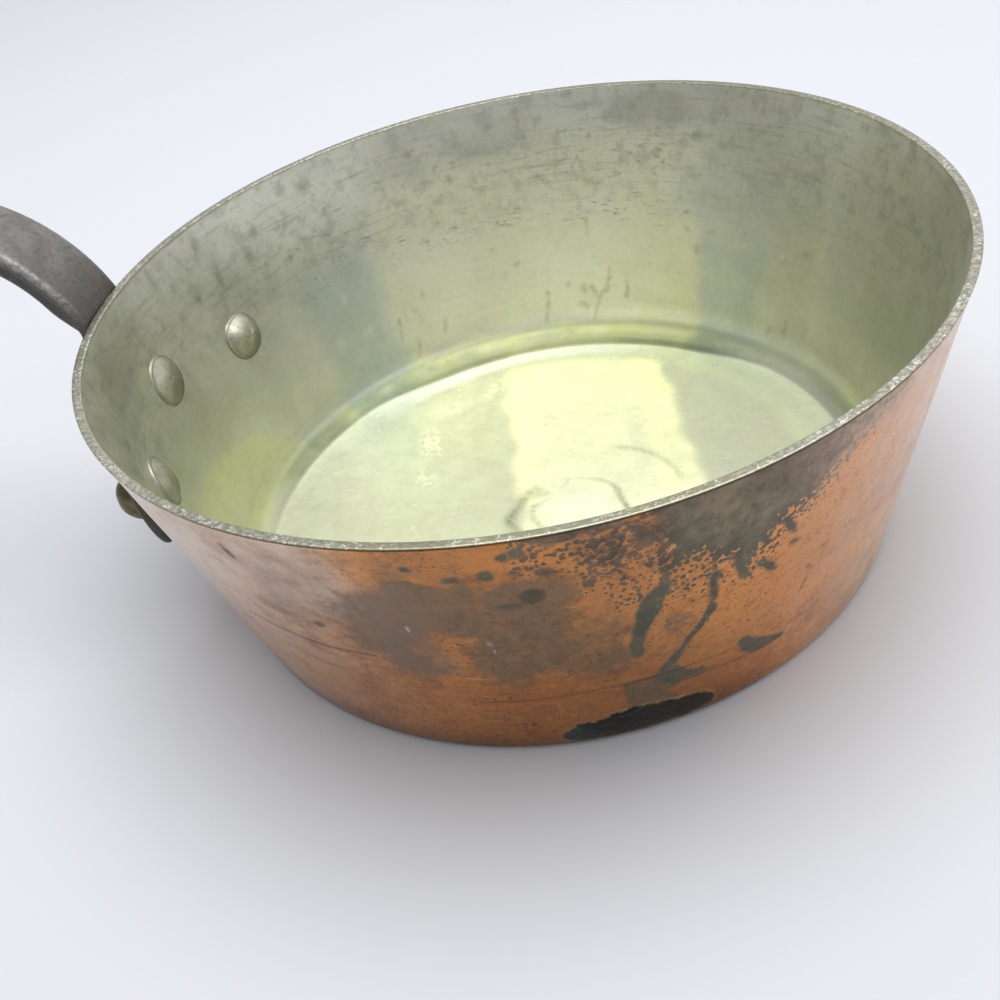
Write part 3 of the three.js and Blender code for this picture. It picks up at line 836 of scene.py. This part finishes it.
def rivet(name, angle, drop, outer, inner, scars, seed, slip=0.0):
    """One rivet: a head on the flange, a head on the tin and the shank between them, in one mesh."""
    place = np.array(wall_place(angle, drop))
    outer_seat = flange_thickness + seat_gap
    outside, faces_out = head(*outer, 0.0, outer_seat, seed, (), False)
    inside, faces_in = head(*inner, inner_skirt, inner_offset - inner_sink, seed + 5, scars, True)
    inside[:, 1] -= slip
    columns = 32
    shank = turn([[shank_radius, inner_offset - 1.0], [shank_radius, outer_seat + 1.0]],
                 np.arange(columns) * 2 * math.pi / columns)
    points = np.vstack([outside, inside, shank])
    faces = faces_out
    for part, start in ((faces_in, len(outside)), (ring_faces(2, columns), len(outside) + len(inside))):
        faces += [[start + point for point in face] for face in part]
    placed = points @ place[:3, :3].T + place[:3, 3]
    lining = np.concatenate([np.zeros(len(outside)), np.ones(len(inside)), np.zeros(len(shank))])
    away = np.hypot(points[:, 0], points[:, 1] + slip * lining)
    reach = outer[0] + (inner[0] - outer[0]) * lining
    # Painted shade round the edge of each head, half as strong on the inner heads
    dirt = smooth(away, reach - 0.35, reach + 0.1) * (1 - 0.5 * lining)
    # Painted shade on the low side of each inner head
    low_side = lining * smooth(-points[:, 1] - slip, -1.5, 4.0)
    return make_piece(name, placed, faces, {"lining": lining, "dirt": dirt, "low_side": low_side})


# Materials


def colour(red, green, blue):
    """A screen colour, 0 to 255, as the linear colour that a shader takes."""
    linear = [c / 12.92 if c <= 0.04045 else ((c + 0.055) / 1.055) ** 2.4
              for c in (red / 255, green / 255, blue / 255)]
    return (*linear, 1.0)


class Paint:
    """The nodes of one material, or of the room's light.

    Where a node takes a value, a string names a field of the mesh, (value, low, high, start, end) is a soft
    step of the value, and three numbers are a screen colour.
    """

    def __init__(self, name, made_in=bpy.data.materials, surface="Principled BSDF", **fixed):
        self.made = made_in.new(name)
        self.made.use_nodes = True
        self.tree = self.made.node_tree
        self.surface = self.tree.nodes[surface]
        self.finish(**fixed)
        self.place = self.stretched((1, 1, 1))
        self.height = self.node("ShaderNodeSeparateXYZ", {0: self.place}, "Z")

    def node(self, kind, values=(), output=0, **settings):
        """An output of a new node."""
        made = self.tree.nodes.new(kind)
        for key, value in settings.items():
            setattr(made, key, value)
        for socket, value in dict(values).items():
            self.put(made.inputs[socket], value)
        return made.outputs[output]

    def put(self, socket, value):
        if isinstance(value, str):
            value = self.node("ShaderNodeAttribute", output="Fac", attribute_name=value)
        elif isinstance(value, tuple) and isinstance(value[0], (str, bpy.types.NodeSocket)):
            value = self.fade(*value)
        if isinstance(value, bpy.types.NodeSocket):
            self.tree.links.new(value, socket)
        elif socket.type == "RGBA" and len(value) == 3:
            socket.default_value = colour(*value)
        else:
            socket.default_value = value

    def math(self, operation, first, *others, clamp=False):
        for other in others:
            first = self.node("ShaderNodeMath", {0: first, 1: other}, operation=operation, use_clamp=clamp)
        return first

    times = functools.partialmethod(math, "MULTIPLY")
    plus = functools.partialmethod(math, "ADD")
    minus = functools.partialmethod(math, "SUBTRACT")
    most = functools.partialmethod(math, "MAXIMUM")

    def fade(self, value, low, high, start=0.0, end=1.0):
        return self.node("ShaderNodeMapRange", {0: value, 1: low, 2: high, 3: start, 4: end},
                         interpolation_type="SMOOTHSTEP")

    def mix(self, share, a, b, blend="MIX"):
        return self.node("ShaderNodeMix", {0: share, 6: a, 7: b}, 2, data_type="RGBA", blend_type=blend)

    def layers(self, base, *rows):
        """A colour with others laid over it. A row has the colour on top, then the factors of its share."""
        for over, *shares in rows:
            base = self.mix(self.times(*shares), base, over)
        return base

    def stretched(self, stretch, lean=0.0):
        """Object coordinates in millimetres, leant by degrees round Y, then stretched along each axis."""
        position = self.node("ShaderNodeTexCoord", output="Object")
        if lean:
            position = self.node("ShaderNodeVectorRotate", {"Vector": position, "Angle": math.radians(lean)},
                                 rotation_type="Y_AXIS")
        return self.node("ShaderNodeVectorMath", {0: position, 1: [s / MM for s in stretch]},
                         operation="MULTIPLY")

    def noise(self, scale, detail, roughness=0.55, stretch=None, lean=0.0):
        place = self.stretched(stretch, lean) if stretch else self.place
        return self.node("ShaderNodeTexNoise", {"Vector": place, "Scale": scale, "Detail": detail,
                                                "Roughness": roughness})

    def cells(self, scale, place=None):
        return self.node("ShaderNodeTexVoronoi", {"Vector": place or self.place, "Scale": scale})

    def bump(self, height, strength, distance):
        values = {"Strength": strength, "Distance": distance * MM, "Height": height}
        return self.node("ShaderNodeBump", values)

    def finish(self, **values):
        for socket, value in values.items():
            self.put(self.surface.inputs[socket.replace("_", " ")], value)
        return self.made


def copper_finish():
    """Bare copper rubbed by hand, with tarnish, films, flecks, runs and a burnt crust, and painted sheen,
    light and shade.
    """
    paint = Paint("worn_copper", Coat_Roughness=0.34)
    broad = paint.noise(0.035, 4)
    cloud = paint.noise(0.14, 5, 0.6)
    coarse = paint.noise(0.3, 3)
    grit = paint.noise(0.45, 6, 0.75)
    fine = paint.noise(0.9, 4, 0.6)
    lines = paint.noise(1, 4, 0.65, (0.05, 0.05, 1.6))
    streaks = paint.noise(1, 3, 0.55, (0.55, 0.55, 0.05))
    scratches = paint.noise(1, 3, 0.7, (0.035, 0.035, 2.6), 9)
    rubbed = paint.noise(1, 2, 0.6, (0.04, 0.04, 3.4), -7)
    flaked = paint.noise(1, 4, 0.7, (0.35, 0.35, 1.3))

    def around(value, size):
        """A noise made to swing about zero by a size in millimetres."""
        return paint.times(paint.minus(value, 0.5), size)

    def patchy(name, swing=1.0, low=0.15, high=0.95):
        """A field with its soft border broken up into patches."""
        return paint.plus(around(cloud, 1.5 * swing), around(grit, 0.9 * swing), name), low, high

    # Bare metal, its films and its scratches, with painted sheen and painted light on the lower right
    base = paint.layers(
        paint.mix((broad, 0.35, 0.65), (208, 142, 80), (186, 120, 64)),
        ((158, 98, 56), (cloud, 0.45, 0.75, 0, 0.5)),
        ((144, 90, 58), (lines, 0.55, 0.72, 0, 0.35)),
        ((230, 154, 84), patchy("orange"), 0.85),
        ((138, 88, 54), (grit, 0.5, 0.66, 0, 0.5)),
        ((234, 172, 110), (grit, 0.44, 0.34, 0, 0.35)),
        ((96, 70, 50), (paint.noise(1.2, 2), 0.6, 0.68, 0, 0.9), (paint.noise(0.08, 2), 0.4, 0.6, 0.2, 1)),
        # Pale haze: a dull film, and painted sheen on the left and right sides
        ((226, 216, 204), "haze", (cloud, 0.3, 0.7, 1, 0.72)))
    # Painted light: the lower right of the wall is made brighter
    base = paint.mix("lit", base, (1.35, 1.28, 1.12, 1.0), "MULTIPLY")
    film = paint.times(patchy("film"), (streaks, 0.35, 0.7, 0.95, 0.7))
    brown = paint.mix((streaks, 0.35, 0.65), (140, 113, 86), (113, 103, 84))
    brown = paint.mix((grit, 0.47, 0.6, 0, 0.5), brown, (98, 84, 66))

    # Tarnish: broad areas with ragged borders, holes, rings, runs and dots
    ragged = paint.plus(around(coarse, 3.6), around(grit, 3.4), around(fine, 1.2))
    slight = paint.times(ragged, 0.55)
    warp = paint.node("ShaderNodeTexNoise", {"Vector": paint.place, "Scale": 0.5}, "Color")
    warped = paint.node("ShaderNodeVectorMath", {0: paint.place, 1: warp}, operation="ADD")
    lace = paint.times(paint.minus(paint.cells(0.85, warped), 0.46), "lace", 12.0)
    area = paint.plus("tarnish", paint.times(ragged, 0.7), lace)
    ring = paint.math("ABSOLUTE", paint.minus(paint.cells(0.36, warped), 0.42), 0.0)
    ring = paint.times((ring, 0.05, 0.12, 1, 0), (paint.noise(0.25, 2), 0.42, 0.56, 0, 0.85),
                       patchy("network"))
    area = paint.times((area, -0.6, 0.6, 1, 0), paint.minus(1.0, ring))
    dot_size = paint.times("dots", (coarse, 0.36, 0.56, 0.12, 0.52))
    dots = paint.minus(paint.cells(1.15, warped), dot_size), -0.07, 0.05, 0.8, 0
    tarnish = paint.most(area, (paint.plus("run", slight), -0.55, 0.45, 1, 0), dots)
    dark = paint.layers(
        paint.mix((cloud, 0.4, 0.6), (94, 88, 68), (78, 80, 63)),
        (paint.mix((paint.noise(0.22, 4, 0.6), 0.42, 0.6), (133, 117, 90), (103, 98, 76)), "deep"),
        (paint.mix((cloud, 0.35, 0.65), (124, 98, 76), (92, 72, 54)), "brown"),
        ((72, 66, 52), (grit, 0.5, 0.64, 0, 0.5)),
        ((150, 132, 110), (grit, 0.46, 0.36, 0, 0.4)),
        (paint.mix((grit, 0.4, 0.6), (200, 172, 150), (156, 134, 114)), "thin"))

    # The burnt crust by the base
    burnt = paint.plus("burnt", slight)
    shell = paint.fade(burnt, -0.5, 0.4, 1, 0)
    char = paint.layers(
        paint.mix("right", (20, 25, 22), (36, 34, 25)),
        ((56, 88, 86), "teal", (grit, 0.4, 0.6, 0.35, 1)),
        ((108, 100, 74), (flaked, 0.56, 0.64, 0, 0.45)))

    # Painted shade: the copper darkens towards the base, less on the right
    contact_shade = paint.most((paint.height, 0.8, 4.0, 0.95, 0), (paint.height, 1, 11, 0.55, 0))
    contact_shade = paint.times(contact_shade, "grimy", (cloud, 0.35, 0.65, 1, 0.6))
    seam = (paint.height, rim_height - 1.0, rim_height - 0.45, 0, 0.8)
    base = paint.layers(
        base,
        ((112, 80, 58), (scratches, 0.6, 0.66, 0, 0.55), (cloud, 0.42, 0.6, 0.1, 1)),
        ((236, 190, 146), (rubbed, 0.64, 0.7, 0, 0.4)),
        (brown, film),
        ((134, 113, 98), patchy("violet", 0.7, 0.0, 1.2), 0.8),
        (dark, tarnish),
        ((90, 58, 40), (paint.plus("crease", paint.times(cloud, 0.8)), 0.1, 0.9, 0.6, 0)),
        ((206, 164, 120), (burnt, 1.3, 0.3), (grit, 0.42, 0.55, 0, 0.6)),
        (char, shell),
        ((186, 180, 160), (paint.plus("speck", paint.times(ragged, 0.3)), -0.35, 0.1, 0.9, 0)),
        (paint.mix(fine, (84, 64, 50), (52, 44, 38)), "under", (cloud, 0.35, 0.7, 0.95, 0.45)),
        # A dark seam under the tin at the top, and the painted shade towards the base
        ((70, 54, 40), paint.most(seam, contact_shade)))

    dull = paint.most(tarnish, shell)
    relief = paint.plus(paint.times(fine, 0.4), lines, paint.times(fine, 4.0, shell))
    return paint.finish(
        Base_Color=base,
        Metallic=paint.minus(1.0, paint.times(dull, 0.45)),
        Roughness=paint.plus((cloud, 0.3, 0.7, 0.27, 0.37), paint.times(dull, 0.14), paint.times(film, 0.06)),
        Coat_Weight=paint.times(paint.minus(1.0, shell), 0.2),
        Normal=paint.bump(relief, 0.3, 0.08))


def tin_finish():
    """Wiped tin: dark grain, drips and a speckled rim with painted glints; its yellowish, blue-grey, pale and
    olive patches are painted reflections and painted shade.
    """
    paint = Paint("wiped_tin", Metallic=1.0)
    broad = paint.noise(0.03, 4)
    cloud = paint.noise(0.12, 5, 0.6)
    grain = paint.noise(0.45, 5, 0.65)
    fine = paint.noise(1.4, 3)
    lines = paint.noise(1, 4, 0.65, (0.06, 0.06, 0.9))
    streaks = paint.noise(1, 3, 0.55, (0.35, 0.35, 0.05))
    scratches = paint.noise(1, 4, 0.7, (0.28, 0.28, 1.0))
    glints = paint.fade(paint.noise(1.5, 3, 0.7), 0.54, 0.64)
    upper = paint.fade(paint.height, 26, 60)

    def patch(name):
        """A field with its strength varied by clouds."""
        return paint.times(name, (cloud, 0.35, 0.65, 0.75, 1.1), clamp=True)

    wall = paint.mix((broad, 0.35, 0.65), (220, 221, 210), (211, 212, 199))
    floor = paint.mix((cloud, 0.35, 0.65), (214, 220, 190), (202, 208, 175))
    mottle = paint.times((grain, 0.5, 0.75), (upper, 0, 1, 0.2, 0.5))
    base = paint.layers(
        paint.mix("floor", wall, floor),
        # Painted reflections and painted shade: yellowish, blue-grey, pale and olive zones
        (paint.mix("floor", (226, 226, 187), (245, 248, 188)), patch("yellow")),
        ((192, 203, 200), patch("cool")),
        (paint.mix("floor", (226, 227, 214), (250, 252, 226)), patch("pale")),
        ((186, 187, 174), patch("shade")),
        ((250, 252, 214), "rubbed", (grain, 0.44, 0.6, 0.05, 0.8)),
        # Painted highlight: the pale ring on the floor
        ((222, 227, 215), "gleam"),
        # Painted shade: the dark line along the corner
        ((136, 148, 144), "corner", 0.5),
        ((158, 160, 148), mottle),
        ((166, 168, 156), (paint.noise(0.2, 4, 0.6), 0.48, 0.66), (upper, 0, 1, 0.08, 0.4)),
        ((164, 166, 150), (lines, 0.52, 0.7), (upper, 0, 1, 0.1, 0.4)),
        ((112, 116, 100), "scuffs", (scratches, 0.54, 0.68, 0, 0.65)),
        ((222, 225, 204), (streaks, 0.55, 0.75, 0, 0.22)),
        ((140, 144, 128), (fine, 0.66, 0.76, 0, 0.4)),
        ((228, 230, 214), (paint.cells(0.16), 0.16, 0.08), (cloud, 0.5, 0.6, 0, 0.5)))
    # Painted shade at the foot of the wall
    base = paint.mix("foot", base, (172, 176, 154), "MULTIPLY")
    # Painted reflection: the bend is made lighter and more yellow
    base = paint.mix("bend", base, (1.06, 1.11, 0.96, 1.0), "MULTIPLY")

    ragged = paint.times(paint.minus(grain, 0.5), 4.0)
    edge = paint.layers(
        paint.mix((paint.noise(0.9, 4, 0.7), 0.38, 0.62), (172, 170, 156), (136, 134, 118)),
        ((240, 240, 232), glints, (cloud, 0.42, 0.6, 0.08, 0.8)),
        ((136, 134, 110), "rim_dark", (glints, 0, 1, 0.7, 0.35)))
    base = paint.layers(
        base,
        ((128, 130, 106), (paint.plus("stain", ragged), -1.3, 1.0, 0.5, 0)),
        ((230, 234, 214), "pool", (cloud, 0.4, 0.6, 0.2, 0.7)),
        ((140, 146, 116), "ring", (grain, 0.36, 0.62, 0.95, 0.45)),
        (edge, "rim"))
    # Painted light: the bright zones are made lighter
    brighter = paint.times("bright", (cloud, 0.35, 0.65, 1.0, 0.8))
    base = paint.mix(brighter, base, (1.35, 1.35, 1.35, 1.0), "MULTIPLY")
    rough = paint.plus((cloud, 0.3, 0.7, 0.3, 0.4), paint.times("floor", 0.12), paint.times(mottle, 0.12),
                       paint.times("foot", 0.15))
    relief = paint.plus(paint.times(grain, 1.2), paint.times(lines, 0.6), paint.times(glints, 1.2, "rim"))
    relief = paint.times(relief, ("foot", 0, 1, 1.0, 0.2))
    return paint.finish(Base_Color=base, Roughness=rough, Normal=paint.bump(relief, 0.3, 0.1))


def iron_finish():
    """Bare grey cast iron, grainy, with painted shade by the pan, in the crevice and underneath, and lighter
    edges that are painted highlight and wear.
    """
    paint = Paint("bare_cast_iron")
    cloud = paint.noise(0.16, 5, 0.6)
    grain = paint.noise(0.8, 5, 0.65)
    base = paint.layers(
        paint.mix((cloud, 0.35, 0.65), (134, 131, 128), (112, 109, 106)),
        ((88, 84, 80), (grain, 0.5, 0.7, 0, 0.6)),
        # Painted shade by the pan
        ((92, 92, 84), "near_pan", 0.55),
        # Lighter edges: a painted highlight and wear
        ((188, 184, 180), "edge", (grain, 0.35, 0.6, 0.8, 0.25)),
        # Painted shade in the crevice
        ((56, 50, 46), "crevice", 0.75),
        # Painted shade below the top face and on the flange
        ((62, 60, 57), "below", 0.7),
        ((112, 84, 62), "below", (paint.noise(0.1, 3), 0.55, 0.7, 0, 0.35)))
    relief = paint.plus(grain, (paint.cells(0.9), 0.0, 0.35, -0.25, 0))
    return paint.finish(Base_Color=base, Metallic=(cloud, 0.3, 0.7, 0.75, 0.6),
                        Roughness=(grain, 0.3, 0.7, 0.42, 0.58), Normal=paint.bump(relief, 0.5, 0.22))


def rivet_finish():
    """Copper heads: dark brown outside, tinned with the lining inside, with painted shade round their edges
    and on the low side of the inner heads.
    """
    paint = Paint("rivet_heads", Metallic=0.95)
    cloud = paint.noise(0.3, 4)
    grain = paint.noise(1.2, 4, 0.6)
    brown = paint.mix((cloud, 0.35, 0.65), (120, 107, 78), (86, 78, 58))
    brown = paint.mix((grain, 0.55, 0.75, 0, 0.6), brown, (160, 122, 88))
    tin = paint.mix((cloud, 0.35, 0.65), (182, 183, 164), (160, 161, 142))
    tin = paint.mix((grain, 0.5, 0.7, 0, 0.6), tin, (142, 143, 124))
    base = paint.layers(
        brown,
        (tin, "lining"),
        # Painted shade round the heads' edges
        ((92, 90, 74), "dirt", (grain, 0.3, 0.6, 0.75, 0.35)),
        # Painted shade on the low side of the inner heads
        ((112, 114, 94), "low_side", (grain, 0.3, 0.6, 0.6, 0.45)))
    rough = paint.plus((cloud, 0.3, 0.7, 0.32, 0.46), paint.times("lining", 0.12))
    return paint.finish(Base_Color=base, Roughness=rough, Normal=paint.bump(grain, 0.35, 0.12))


# Stage: a plain pale floor under plain soft light


def stage():
    size = 1.6 / MM
    corners = [(-size, -size, 0), (size, -size, 0), (size, size, 0), (-size, size, 0)]
    floor = make_piece("floor", corners, [(0, 1, 2, 3)])
    paint = Paint("pale_floor", Base_Color=(210, 213, 218), Roughness=1.0, Specular_IOR_Level=0.1)
    floor.data.materials.append(paint.made)

    room = Paint("soft_studio", bpy.data.worlds, "Background", Color=(250, 250, 252))
    direction = room.node("ShaderNodeTexCoord", output="Generated")
    bright_side = (0.52, 0.62, 0.5)
    facing = room.node("ShaderNodeVectorMath", {0: direction, 1: bright_side}, "Value",
                       operation="DOT_PRODUCT")
    bpy.context.scene.world = room.finish(Strength=(facing, -0.9, 0.95, 0.42, 1.0))

    lamp = bpy.data.objects.new("soft_box", bpy.data.lights.new("soft_box", "AREA"))
    lamp.data.shape = "DISK"
    lamp.data.size = 1.0
    lamp.data.energy = 8.5
    lamp.location = (0.05, 0.08, 1.1)
    aim = Vector((0, 0, 0.04)) - lamp.location
    lamp.rotation_euler = aim.to_track_quat("-Z", "Y").to_euler()
    bpy.context.scene.collection.objects.link(lamp)


def camera():
    made = bpy.data.objects.new("camera", bpy.data.cameras.new("camera"))
    made.location = Vector((48.5, -245.1, 196.1)) * MM
    made.rotation_euler = [math.radians(a) for a in (51.75, 10.68, 6.20)]
    made.data.sensor_width = 36
    made.data.lens = 43.63
    made.data.clip_start = 0.01
    bpy.context.scene.collection.objects.link(made)
    bpy.context.scene.camera = made


def dress():
    copper = turned_piece("copper_wall_and_base", copper_profile(), fine_angles(-128, -16, 0.45, 1.05),
                          copper_shift, copper_fields)
    tin = turned_piece("tin_wiped_lining", tin_profile(), fine_angles(-4, 206, 0.6, 1.2), tin_shift,
                       tin_fields)
    pieces = [
        (copper, "copper_body", "copper", copper_finish()), (tin, "tin_lining", "tin", tin_finish()),
        (cast_handle(), "cast_handle", "cast_iron", iron_finish()),
    ]
    finish = rivet_finish()
    for node, measures in rivets.items():
        pieces.append((rivet(node + "_hammered", **measures), node, "rivets", finish))
    for piece, node, slot, material in pieces:
        piece.data.materials.append(material)
        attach(piece, "root")
        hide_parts(node)


camera()
stage()
dress()

bpy.context.scene.view_settings.view_transform = "Standard"
